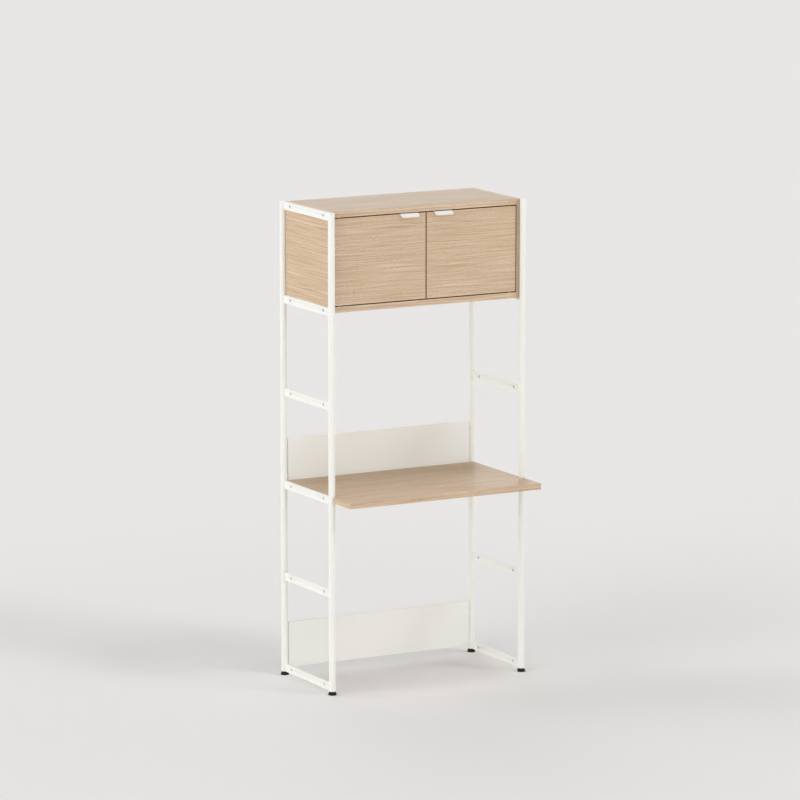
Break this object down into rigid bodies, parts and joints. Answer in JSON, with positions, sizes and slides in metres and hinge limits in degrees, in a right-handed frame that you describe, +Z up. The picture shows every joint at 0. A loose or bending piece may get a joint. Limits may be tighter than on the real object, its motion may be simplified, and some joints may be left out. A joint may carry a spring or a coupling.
{
  "type": "shelving unit with desk",
  "caption": "Free-standing white steel ladder unit with an oak-faced desk board, a closed oak-faced cabinet with inset doors above it, and low steel back panels.",
  "frame": {"origin": "on the floor, at the middle of the unit's outline in plan", "axes": "+X along the desk to the right, +Y from the desk's front edge to the back, +Z up"},
  "size_m": [0.836, 0.5414, 1.7945],
  "materials": {
    "white_steel": "fine satin powder coat, warm white",
    "oak": "matt lacquered oak veneer",
    "beech": "raw fluted dowel",
    "black_plastic": "moulded, matt",
    "white_plastic": "moulded, matt",
    "zinc_steel": "bright zinc plate",
    "brass": "turned"
  },
  "bodies": {
    "frame": {"cabinet_back": "oak", "cabinet_back_screws": "zinc_steel", "cabinet_bottom": "oak", "cabinet_dowels": "beech", "cabinet_left_side": "oak", "cabinet_pin_sleeves": "brass", "cabinet_right_side": "oak", "cabinet_set_screws": "zinc_steel", "cabinet_top": "oak", "catch_screws": "zinc_steel", "desk_pin_sleeves": "brass", "desk_set_screws": "zinc_steel", "desk_top": "oak", "door_bushes": "brass", "door_catches": "white_plastic", "foot_sockets": "black_plastic", "left_front_upright": "white_steel", "left_rear_upright": "white_steel", "left_rung_1": "white_steel", "left_rung_2": "white_steel", "left_rung_3": "white_steel", "left_rung_4": "white_steel", "left_rung_5": "white_steel", "left_rung_6": "white_steel", "lower_back_panel": "white_steel", "panel_bosses": "zinc_steel", "panel_screws": "zinc_steel", "right_front_upright": "white_steel", "right_rear_upright": "white_steel", "right_rung_1": "white_steel", "right_rung_2": "white_steel", "right_rung_3": "white_steel", "right_rung_4": "white_steel", "right_rung_5": "white_steel", "right_rung_6": "white_steel", "upper_back_panel": "white_steel", "upright_top_caps": "white_plastic"},
    "left_door": {"left_door": "oak", "left_door_pivot_pins": "zinc_steel", "left_door_pull": "white_steel", "left_pull_screws": "zinc_steel", "left_strike_plate": "zinc_steel", "left_strike_screw": "zinc_steel"},
    "right_door": {"right_door": "oak", "right_door_pivot_pins": "zinc_steel", "right_door_pull": "white_steel", "right_pull_screws": "zinc_steel", "right_strike_plate": "zinc_steel", "right_strike_screw": "zinc_steel"},
    "left_front_foot": {"left_front_foot": "black_plastic", "left_front_foot_stud": "zinc_steel"},
    "left_rear_foot": {"left_rear_foot": "black_plastic", "left_rear_foot_stud": "zinc_steel"},
    "right_front_foot": {"right_front_foot": "black_plastic", "right_front_foot_stud": "zinc_steel"},
    "right_rear_foot": {"right_rear_foot": "black_plastic", "right_rear_foot_stud": "zinc_steel"}
  },
  "joints": [
    {"name": "left_door_hinge", "type": "hinge", "parent": "frame", "child": "left_door", "pos_m": [-0.3585, -0.10175, 1.6085], "axis": [0, 0, -1], "range_deg": [0, 100]},
    {"name": "right_door_hinge", "type": "hinge", "parent": "frame", "child": "right_door", "pos_m": [0.3585, -0.10175, 1.6085], "axis": [0, 0, 1], "range_deg": [0, 100]},
    {"name": "left_front_foot_height", "type": "slide", "parent": "frame", "child": "left_front_foot", "axis": [0, 0, -1], "range_m": [0, 0.01]},
    {"name": "left_rear_foot_height", "type": "slide", "parent": "frame", "child": "left_rear_foot", "axis": [0, 0, -1], "range_m": [0, 0.01]},
    {"name": "right_front_foot_height", "type": "slide", "parent": "frame", "child": "right_front_foot", "axis": [0, 0, -1], "range_m": [0, 0.01]},
    {"name": "right_rear_foot_height", "type": "slide", "parent": "frame", "child": "right_rear_foot", "axis": [0, 0, -1], "range_m": [0, 0.01]}
  ]
}
